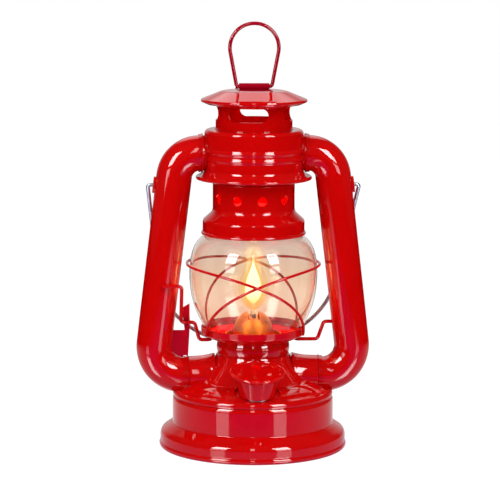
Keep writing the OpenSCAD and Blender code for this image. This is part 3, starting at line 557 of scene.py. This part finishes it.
# Air chamber under the globe
def air_chamber():
    floor_r = 9.55 * MM
    foot_round = 1.5 * MM
    lip = 0.9 * MM
    barrel_low = boss_top_z + MM
    barrel = chamber_top_z - lip - barrel_low
    line = ([(floor_r, chamber_floor_z)]
            + arc((chamber_r - foot_round, chamber_floor_z + foot_round), foot_round, foot_round, -90, 0, 8)
            + [(chamber_r + chamber_bulge * math.sin(math.pi * i / 24), barrel_low + barrel * i / 24)
               for i in range(25)]
            + arc((chamber_r - lip, chamber_top_z - lip), lip, lip, 15, 90, 8))
    piece = turned("enamel_air_chamber", sheet_outline(line))
    for side in (-1, 1):
        carve(piece, rod((side * chamber_r / 2, 0, tube_foot_z), (side * 1.5 * chamber_r, 0, tube_foot_z),
                         tube_r + seat_gap))
    shaft_low, shaft_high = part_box("wick_shaft")
    shaft = (shaft_low + shaft_high) / 2
    carve(piece, rod((shaft.x, 0.5 * chamber_r, shaft.z), (shaft.x, 1.3 * chamber_r, shaft.z), 1.06 * MM))
    stands_for(piece, "air_chamber")


# Air tubes
def air_tube(side, node):
    corners = [(side * (canopy_r - 2 * MM), 0, tube_top_z), (side * frame_top_x, 0, tube_top_z),
               (side * frame_foot_x, 0, tube_foot_z), (side * (chamber_r - 2.6 * MM), 0, tube_foot_z)]
    piece = bent("enamel_" + node, corners, [upper_bend, lower_bend], tube_r, sides=96, steps=40,
                 open_ends=True)
    wall = piece.modifiers.new("wall", "SOLIDIFY")
    wall.thickness = sheet
    wall.offset = -1
    apply_modifiers(piece)
    stands_for(piece, node)


# Glass
def globe():
    neck_z = globe_top_z - 7.4 * MM
    lip = 0.4 * MM
    line = ([(globe_foot_r - lip, globe_foot_z), (globe_foot_r, globe_foot_z + lip)]
            + bow([(globe_foot_r + 0.1 * MM, globe_foot_z + 0.6 * MM),
                   (globe_foot_r + 1.2 * MM, globe_foot_z + 5.4 * MM),
                   (globe_r, globe_belly_z - 18 * MM), (globe_r, globe_belly_z)], 40)
            + bow([(globe_r, globe_belly_z + 0.2 * MM), (globe_r, globe_belly_z + 9.5 * MM),
                   (globe_top_r + 5.4 * MM, neck_z - 2.6 * MM), (globe_top_r + 0.2 * MM, neck_z)], 40)
            + [(globe_top_r, neck_z + 1.5 * MM), (globe_top_r, globe_top_z - lip),
               (globe_top_r - lip, globe_top_z)])
    stands_for(turned("glass_globe", sheet_outline(line, glass_t)), "globe")


def globe_plate():
    corner = 0.7 * MM
    vents, vent_r = 16, 1.1 * MM
    line = ([(plate_hole_r, plate_z)]
            + bow([(globe_foot_r - 2.6 * MM, plate_z), (globe_foot_r - 1.6 * MM, plate_z),
                   (globe_foot_r - 1.1 * MM, plate_z + 0.9 * MM)], 6)
            + bow([(globe_foot_r - 0.9 * MM, ledge_z - 0.6 * MM), (globe_foot_r - 0.6 * MM, ledge_z),
                   (globe_foot_r, ledge_z)], 6)
            + arc((plate_r - corner, ledge_z + corner), corner, corner, -90, 0, 8)
            + [(plate_r, plate_top_z - 0.2 * MM), (plate_r - 0.2 * MM, plate_top_z)])
    piece = turned("enamel_globe_plate", sheet_outline(line))
    vent_ring_r = (plate_hole_r + globe_foot_r - 2.6 * MM) / 2
    for i in range(vents):
        angle = math.tau * i / vents
        around = Vector((math.cos(angle), math.sin(angle), 0)) * vent_ring_r
        carve(piece, rod(around + Vector((0, 0, plate_z - MM)), around + Vector((0, 0, plate_z + 2 * MM)),
                         vent_r, sides=20))
    stands_for(piece, "globe_plate")


def bead(name, r, z, wire_r):
    return turned(name, arc((r, z), wire_r, wire_r, 0, 345, 23))


# Guard wires round the glass
def guard_wire(side, outer, node):
    foot_angle = 26
    front_climb, back_climb, swell = 2.85, 4.6, 2.15
    steps = 24
    wire_r = 0.66 * MM
    foot_z = ledge_z + MM
    top_z = globe_belly_z + 4.4 * MM
    foot_r = plate_r + seat_gap + wire_r
    inner_r = globe_r + 0.4 * MM + wire_r

    def at(angle):
        t = (abs(angle) - foot_angle) / (180 - foot_angle)
        far_r = inner_r + (1.2 * MM * abs(math.sin(math.radians(angle))) ** 0.8 if outer else 0)
        climb = front_climb if angle < 0 else back_climb
        r = foot_r + (far_r - foot_r) * (1 - (1 - t) ** (swell * climb))
        z = foot_z + (top_z - foot_z) * (1 - (1 - t) ** climb)
        return (side * r * math.cos(math.radians(angle)), r * math.sin(math.radians(angle)), z)

    sweep = (180 - foot_angle) / steps
    points = ([at(-foot_angle - sweep * i) for i in range(steps + 1)]
              + [at(180 - sweep * i) for i in range(1, steps + 1)])
    stands_for(wire_through("enamel_" + node, points, wire_r), node)


# Chimney: globe cap, canopy and hood
def globe_cap():
    drum_corner, neck_corner, fillet = 2 * MM, 0.8 * MM, 1.5 * MM
    bead_z = cap_low_z + rim_wire
    hole_count, first_hole, hole_r = 10, -81.6, 2.3 * MM
    shoulder_turn = 48
    steep = math.radians(shoulder_turn)
    slope = Vector((-math.sin(steep), math.cos(steep)))
    drum_edge = arc((cap_drum_r - drum_corner, drum_top_z - drum_corner), drum_corner, drum_corner,
                    0, shoulder_turn, 12)
    neck_foot = Vector(drum_edge[-1]) + slope * (drum_edge[-1][0] - perf_neck_r) / math.sin(steep)
    line = ([(cap_drum_r, bead_z)] + drum_edge
            + bow([neck_foot - fillet * slope, neck_foot, (perf_neck_r, neck_foot.y + fillet)], 14)
            + arc((perf_neck_r - neck_corner, perf_top_z - neck_corner), neck_corner, neck_corner, 0, 90, 8)
            + [(chimney_r + seat_gap, perf_top_z)])
    piece = turned("enamel_globe_cap", sheet_outline(line))
    carve(piece, bead("bead", cap_drum_r - rim_wire / 4, bead_z, rim_wire), "UNION")
    hole_z = drum_top_z + 9.7 * MM
    for i in range(hole_count):
        angle = math.radians(first_hole + 360 / hole_count * i)
        out = Vector((math.cos(angle), math.sin(angle), 0))
        up = Vector((0, 0, hole_z))
        carve(piece, rod(up + (perf_neck_r - 4 * MM) * out, up + (perf_neck_r + 2 * MM) * out, hole_r,
                         sides=32))
    stands_for(piece, "globe_cap")


def canopy():
    swage_h, swage_w, swage_steps = 0.45 * MM, 1.5 * MM, 10
    corner = 1.7 * MM
    flare_h = 4.6 * MM
    bead_r, bead_z = canopy_rim_r - rim_wire, canopy_rim_z + rim_wire

    def swage(z):
        shares = [i / swage_steps for i in range(-swage_steps, swage_steps + 1)]
        return [(canopy_r + swage_h * (1 + math.cos(math.pi * s)) / 2, z + swage_w * s) for s in shares]

    line = (bow([(bead_r, bead_z), (canopy_r + 0.6 * MM, canopy_rim_z + 0.5 * flare_h),
                 (canopy_r, canopy_rim_z + flare_h)], 20)
            + swage(canopy_top_z - 13.6 * MM) + swage(canopy_top_z - 10.1 * MM)
            + [(canopy_r, canopy_top_z - 7.6 * MM)]
            + arc((canopy_r - corner, canopy_top_z - corner), corner, corner, 0, 90, 14)
            + [(chimney_r + 0.3 * MM, canopy_top_z)])
    piece = turned("enamel_canopy", sheet_outline(line))
    carve(piece, bead("bead", bead_r, bead_z, rim_wire), "UNION")
    carve(piece, rod((-1.4 * canopy_r, 0, tube_top_z), (1.4 * canopy_r, 0, tube_top_z), tube_r + seat_gap))
    stands_for(piece, "canopy")


def hood():
    corner = 0.8 * MM
    line = ([(hood_r - 3 * MM, hood_z)]
            + arc((hood_r - corner, hood_lip_z - corner), corner, corner, -66, 74, 16)
            + bow([(hood_flat_r + 1.2 * MM, hood_top_z - 0.36 * MM), (hood_flat_r, hood_top_z),
                   (hood_flat_r - 1.2 * MM, hood_top_z)], 10)
            + [(0, hood_top_z)])
    stands_for(turned("enamel_hood", sheet_outline(line)), "hood")


# Wires: ring and bail follow the corners of the imported ones
def lift_ring():
    wire_r = 0.9 * MM
    foot_z = low("lift_ring").z + wire_r
    top_z = high("lift_ring").z - wire_r
    foot_x, corner_x, foot_bend, top_bend = 8.4 * MM, 14 * MM, 1.2 * MM, 11.5 * MM
    corners = [(0, 0, foot_z), (foot_x, 0, foot_z), (corner_x, 0, top_z), (-corner_x, 0, top_z),
               (-foot_x, 0, foot_z), (0, 0, foot_z)]
    piece = bent("enamel_lift_ring", corners, [foot_bend, top_bend, top_bend, foot_bend], wire_r,
                 sides=24, steps=24, open_ends=True)
    stands_for(piece, "lift_ring")


bail_z = 126.95 * MM


def bail():
    wire_r = 0.95 * MM
    tilt = math.radians(22.5)
    arm_x, pin_x, corner_x, reach, aside = 50.7 * MM, 47.42 * MM, 38.6 * MM, 90 * MM, -2.6 * MM

    def hung(x, w):
        return (x, w * math.sin(tilt), bail_z - w * math.cos(tilt))

    pin_bend, bow_bend = 1.4 * MM, 43 * MM
    corners = [hung(-pin_x, 0), hung(-arm_x, 0), hung(aside - corner_x, reach),
               hung(aside + corner_x, reach), hung(arm_x, 0), hung(pin_x, 0)]
    piece = bent("zinc_bail", corners, [pin_bend, bow_bend, bow_bend, pin_bend], wire_r, sides=24, steps=32)
    stands_for(piece, "bail")


# Chimney spring in two lengths: the upper one goes with the imported spring's body, the lower one with the
# carriage
def spring_length(name, start_z, turns, pitch, wire_r):
    deselect()
    bpy.ops.mesh.primitive_circle_add(vertices=12, radius=wire_r, location=(spring_r, 0, start_z),
                                      rotation=(math.pi / 2, 0, 0))
    piece = bpy.context.object
    piece.name = name
    bpy.ops.object.transform_apply()
    winding = piece.modifiers.new("winding", "SCREW")
    winding.angle = math.tau * turns
    winding.screw_offset = pitch * turns
    winding.steps = winding.render_steps = int(40 * turns)
    winding.use_merge_vertices = False
    apply_modifiers(piece)
    bpy.ops.object.mode_set(mode="EDIT")
    bpy.ops.mesh.select_all(action="DESELECT")
    bpy.ops.mesh.select_non_manifold()
    bpy.ops.mesh.edge_face_add()
    bpy.ops.mesh.select_all(action="SELECT")
    bpy.ops.mesh.normals_make_consistent(inside=False)
    bpy.ops.object.mode_set(mode="OBJECT")
    smooth(piece)
    return piece


spring_r = 19.2 * MM


def chimney_spring():
    wire_r = 0.6 * MM
    lower_turns, upper_turns = 2, 2.5
    lowest, highest = low("chimney_spring").z + wire_r, high("chimney_spring").z - wire_r
    pitch = (highest - lowest) / (lower_turns + upper_turns)
    middle = lowest + lower_turns * pitch
    upper = spring_length("zinc_upper_spring", middle, upper_turns, pitch, wire_r)
    stands_for(upper, "chimney_spring")
    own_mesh(upper)
    lower = spring_length("zinc_lower_spring", lowest, lower_turns, pitch, wire_r)
    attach(lower, "carriage")
    coat(lower, "zinc_wire")
    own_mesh(lower)


# Burner inside the globe
def burner_cone():
    base_z = low("burner_cone").z
    top_z = plate_z + 13 * MM
    spring_z = base_z + 2.2 * MM
    dome_r = 10 * MM
    flange_r = high("burner_cone").x
    outline = ([(flange_r, base_z), (flange_r, base_z + sheet)]
               + bow([(dome_r + 1.2 * MM, base_z + sheet), (dome_r, base_z + sheet),
                      (dome_r, base_z + 1.8 * MM)], 6)
               + arc((0, spring_z), dome_r, top_z - spring_z, 0, 90, 28)
               + arc((0, spring_z), dome_r - sheet, top_z - sheet - spring_z, 90, 0, 28)
               + [(dome_r - sheet, base_z)])
    piece = turned("brass_burner_cone", outline, steps=96)
    deselect()
    bpy.ops.mesh.primitive_cube_add(size=1, location=(0, 0, top_z))
    slot_cutter = bpy.context.object
    slot_cutter.scale = (5.4 * MM, 13.2 * MM, 2 * (top_z - spring_z - 2 * MM))
    bpy.ops.object.transform_apply()
    carve(piece, slot_cutter)
    stands_for(piece, "burner_cone")


tank_bowl()
tank_top()
filler_cap()
air_chamber()
air_tube(-1, "left_tube")
air_tube(1, "right_tube")
globe()
globe_plate()
guard_wire(1, True, "left_guard_wire")
guard_wire(-1, False, "right_guard_wire")
globe_cap()
canopy()
hood()
lift_ring()
bail()
chimney_spring()
burner_cone()

for node, solid in frame["nodes"].items():
    coat(solid, slot_of[node])


# Flame: nested shells from a white core to a faint haze
def flame_shell(name, half_width, half_depth, foot_z, tip_z, glow, strength, veil):
    """A glowing shell. A flame outshines white, so its mirror images are brighter than its own view."""
    widest, mirror_gain = 0.3, 3
    outline = []
    for i in range(33):
        s = i / 32
        swell = math.sin(math.pi / 2 * s / widest) ** 0.75 if s < widest else math.cos(
            math.pi / 2 * (s - widest) / (1 - widest)) ** 1.25
        outline.append((half_width * max(swell, 0), foot_z + (tip_z - foot_z) * s))
    piece = turned(name, outline, steps=48)
    deselect()
    piece.select_set(True)
    bpy.context.view_layer.objects.active = piece
    piece.scale.y = half_depth / half_width
    bpy.ops.object.transform_apply()
    made = bpy.data.materials.new(name)
    made.use_nodes = True
    nodes, links = made.node_tree.nodes, made.node_tree.links
    nodes.remove(nodes["Principled BSDF"])
    light = nodes.new("ShaderNodeEmission")
    light.inputs["Strength"].default_value = strength
    bounces = nodes.new("ShaderNodeLightPath").outputs["Glossy Depth"]
    links.new(spread(nodes, links, bounces, strength, mirror_gain * strength, 0, 1),
              light.inputs["Strength"])
    place = nodes.new("ShaderNodeTexCoord").outputs["Object"]
    height = nodes.new("ShaderNodeSeparateXYZ")
    links.new(place, height.inputs["Vector"])
    share = spread(nodes, links, height.outputs["Z"], 0, 1, foot_z, tip_z)
    links.new(ramp(nodes, links, share, glow), light.inputs["Color"])
    clear = nodes.new("ShaderNodeBsdfTransparent")
    mix = nodes.new("ShaderNodeMixShader")
    mix.inputs["Fac"].default_value = 1 - veil
    links.new(clear.outputs["BSDF"], mix.inputs[1])
    links.new(light.outputs["Emission"], mix.inputs[2])
    links.new(mix.outputs["Shader"], nodes["Material Output"].inputs["Surface"])
    piece.data.materials.append(made)
    piece.visible_shadow = False
    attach(piece, "wick")
    return piece


flame_foot_z = wick_top_z + 0.6 * MM
flame_shell("flame_core", 3.9 * MM, 4 * MM, flame_foot_z + 3.4 * MM, flame_foot_z + 24.5 * MM,
            [(0.0, (1.0, 0.26, 0.03)), (0.3, (1.0, 0.92, 0.66)), (1.0, (1.0, 0.96, 0.75))], 5, 0.1)
flame_shell("flame_body", 5.2 * MM, 5.4 * MM, flame_foot_z + 0.3 * MM, flame_foot_z + 27 * MM,
            [(0.0, (1.0, 0.34, 0.05)), (0.3, (1.0, 0.70, 0.20)), (1.0, (1.0, 0.72, 0.12))], 1.3, 0.45)
flame_shell("flame_veil", 7.2 * MM, 7.4 * MM, flame_foot_z, flame_foot_z + 32 * MM,
            [(0.0, (1.0, 0.45, 0.06)), (0.5, (1.0, 0.64, 0.10)), (1.0, (1.0, 0.66, 0.12))], 1.0, 0.82)
flame_shell("flame_haze", 10 * MM, 10.2 * MM, flame_foot_z, flame_foot_z + 40 * MM,
            [(0.0, (1.0, 0.5, 0.08)), (0.5, (1.0, 0.66, 0.2)), (1.0, (1.0, 0.68, 0.3))], 1.0, 0.9)


# Camera, placed as the photograph shows the rims of the shells
axis_px = 253.5
focal_px = 2395
image_px = 500
camera_reach = 1.137
camera_z = 0.264
camera_side = math.radians(-4)
pitch = math.radians(8.44)
roll = math.radians(0.26)
aim = camera_side + math.atan((axis_px - image_px / 2) / focal_px)
eye = bpy.data.cameras.new("camera")
eye.sensor_width = 36
eye.lens = eye.sensor_width * focal_px / image_px
camera = bpy.data.objects.new("camera", eye)
bpy.context.scene.collection.objects.link(camera)
stand = Vector((camera_reach * math.sin(camera_side), -camera_reach * math.cos(camera_side), camera_z))
camera.matrix_world = (
    Matrix.Translation(stand) @ Matrix.Rotation(aim, 4, "Z")
    @ Matrix.Rotation(math.pi / 2 - pitch, 4, "X") @ Matrix.Rotation(roll, 4, "Z"))
bpy.context.scene.camera = camera


# Studio: soft keys that light the colours, and the panels that the enamel and the glass mirror
def soft_box(name, side_angle, rise_angle, width, height, power):
    reach = 1.3
    lamp = bpy.data.lights.new(name, "AREA")
    lamp.shape = "RECTANGLE"
    lamp.size = width
    lamp.size_y = height
    lamp.energy = power
    made = bpy.data.objects.new(name, lamp)
    bpy.context.scene.collection.objects.link(made)
    side, rise = math.radians(side_angle), math.radians(rise_angle)
    target = Vector((0, 0, 0.1))
    out = Vector((math.sin(side) * math.cos(rise), -math.cos(side) * math.cos(rise), math.sin(rise)))
    made.location = target + reach * out
    made.rotation_euler = out.to_track_quat("Z", "Y").to_euler()
    return made


def mirrored_box(name, side_angle, rise_angle, width, height, radiance):
    """A panel that only reflections show."""
    made = soft_box(name, side_angle, rise_angle, width, height, radiance * math.pi * width * height)
    made.visible_diffuse = False
    return made


key_rise, key_size, key_power = 42, 0.8, 6
panel_rise, panel_w, panel_h, panel_radiance = 28, 0.42, 0.6, 20
strip_rise, strip_h, strip_radiance = 5, 0.22, 6
for hand, side_angle in (("left", -47), ("right", 35)):
    key = soft_box(hand + "_key", side_angle, key_rise, key_size, key_size, key_power)
    key.visible_glossy = False
    panel = mirrored_box(hand + "_panel", side_angle, panel_rise, panel_w, panel_h, panel_radiance)
    panel.visible_transmission = False
    mirrored_box(hand + "_strip", side_angle, strip_rise, panel_w, strip_h, strip_radiance)
middle_panel = mirrored_box("middle_panel", -4, panel_rise, 0.11, panel_h, 6)
middle_panel.visible_transmission = False

flame_lamp = bpy.data.lights.new("flame_lamp", "POINT")
flame_lamp.energy = 0.15
flame_lamp.color = (1.0, 0.5, 0.15)
flame_lamp.shadow_soft_size = 4 * MM
lamp_holder = bpy.data.objects.new("flame_lamp", flame_lamp)
lamp_holder.location = (0, 0, flame_foot_z + 12 * MM)
lamp_holder.visible_camera = lamp_holder.visible_transmission = False
bpy.context.scene.collection.objects.link(lamp_holder)


def arithmetic(nodes, links, operation, *values):
    """A chain of one operation over sockets and numbers."""
    total = values[0]
    for value in values[1:]:
        made = nodes.new("ShaderNodeMath")
        made.operation = operation
        for socket, source in zip(made.inputs, (total, value)):
            if isinstance(source, (int, float)):
                socket.default_value = source
            else:
                links.new(source, socket)
        total = made.outputs["Value"]
    return total


def mixed(nodes, links, share, first, second):
    """A mix of two shaders."""
    made = nodes.new("ShaderNodeMixShader")
    if isinstance(share, (int, float)):
        made.inputs["Fac"].default_value = share
    else:
        links.new(share, made.inputs["Fac"])
    links.new(first, made.inputs[1])
    links.new(second, made.inputs[2])
    return made.outputs["Shader"]


def seen_straight(nodes, links):
    """1 for what the camera sees, also through the glass, and the socket of mirrored rays."""
    path = nodes.new("ShaderNodeLightPath")
    straight = arithmetic(nodes, links, "MAXIMUM", path.outputs["Is Camera Ray"],
                          path.outputs["Is Transmission Ray"])
    return straight, path.outputs["Is Glossy Ray"]


def floor():
    """White to the camera but for the shadow, and a glossy table top in the lantern's reflections."""
    white_share, white_strength = 0.65, 1.32
    deselect()
    bpy.ops.mesh.primitive_plane_add(size=6)
    piece = bpy.context.object
    piece.name = "floor"
    made = bpy.data.materials.new("floor")
    made.use_nodes = True
    made.cycles.emission_sampling = "NONE"
    nodes, links = made.node_tree.nodes, made.node_tree.links
    nodes.remove(nodes["Principled BSDF"])
    straight, mirrored = seen_straight(nodes, links)
    pale = nodes.new("ShaderNodeBsdfDiffuse")
    pale.inputs["Color"].default_value = (0.85, 0.85, 0.85, 1)
    white = nodes.new("ShaderNodeEmission")
    white.inputs["Strength"].default_value = white_strength
    seen = mixed(nodes, links, white_share, pale.outputs["BSDF"], white.outputs["Emission"])
    place = nodes.new("ShaderNodeTexCoord").outputs["Object"]
    parts = nodes.new("ShaderNodeSeparateXYZ")
    links.new(place, parts.inputs["Vector"])
    behind = spread(nodes, links, parts.outputs["Y"], 0, 1, -0.12, 0.06)
    away = nodes.new("ShaderNodeVectorMath")
    away.operation = "LENGTH"
    links.new(place, away.inputs[0])
    near = spread(nodes, links, away.outputs["Value"], 1, 0, 0.22, 0.5)
    glow = nodes.new("ShaderNodeEmission")
    links.new(ramp(nodes, links, behind, [(0, (0.12, 0.03, 0.38)), (1, (0.6, 0.6, 0.6))]),
              glow.inputs["Color"])
    links.new(near, glow.inputs["Strength"])
    gloss = nodes.new("ShaderNodeBsdfGlossy")
    gloss.inputs["Roughness"].default_value = 0.12
    links.new(arithmetic(nodes, links, "MULTIPLY", near, 0.4), gloss.inputs["Color"])
    table_top = nodes.new("ShaderNodeAddShader")
    links.new(glow.outputs["Emission"], table_top.inputs[0])
    links.new(gloss.outputs["BSDF"], table_top.inputs[1])
    other = mixed(nodes, links, mirrored, pale.outputs["BSDF"], table_top.outputs["Shader"])
    links.new(mixed(nodes, links, straight, other, seen), nodes["Material Output"].inputs["Surface"])
    piece.data.materials.append(made)


def surround():
    """White to the camera, an even fill for the colours, and a dim room with a pale back in reflections."""
    world = bpy.data.worlds.new("surround")
    bpy.context.scene.world = world
    world.use_nodes = True
    nodes, links = world.node_tree.nodes, world.node_tree.links
    back = nodes["Background"]
    back.inputs["Color"].default_value = (1, 1, 1, 1)
    heading = nodes.new("ShaderNodeTexCoord").outputs["Generated"]
    parts = nodes.new("ShaderNodeSeparateXYZ")
    links.new(heading, parts.inputs["Vector"])
    straight, mirrored = seen_straight(nodes, links)
    behind = spread(nodes, links, parts.outputs["Y"], 0.04, 0.68, 0.7, 0.95)
    over_back = arithmetic(nodes, links, "ADD", parts.outputs["Y"], parts.outputs["Z"])
    above = spread(nodes, links, over_back, 0, 1.9, 1.26, 1.36)
    room = arithmetic(nodes, links, "MAXIMUM", behind, above)
    strength = nodes.new("ShaderNodeMix")
    strength.inputs["A"].default_value = 0.5
    links.new(mirrored, strength.inputs["Factor"])
    links.new(room, strength.inputs["B"])
    links.new(arithmetic(nodes, links, "MAXIMUM", straight, strength.outputs["Result"]),
              back.inputs["Strength"])


floor()
surround()
bpy.context.scene.view_settings.view_transform = "Standard"
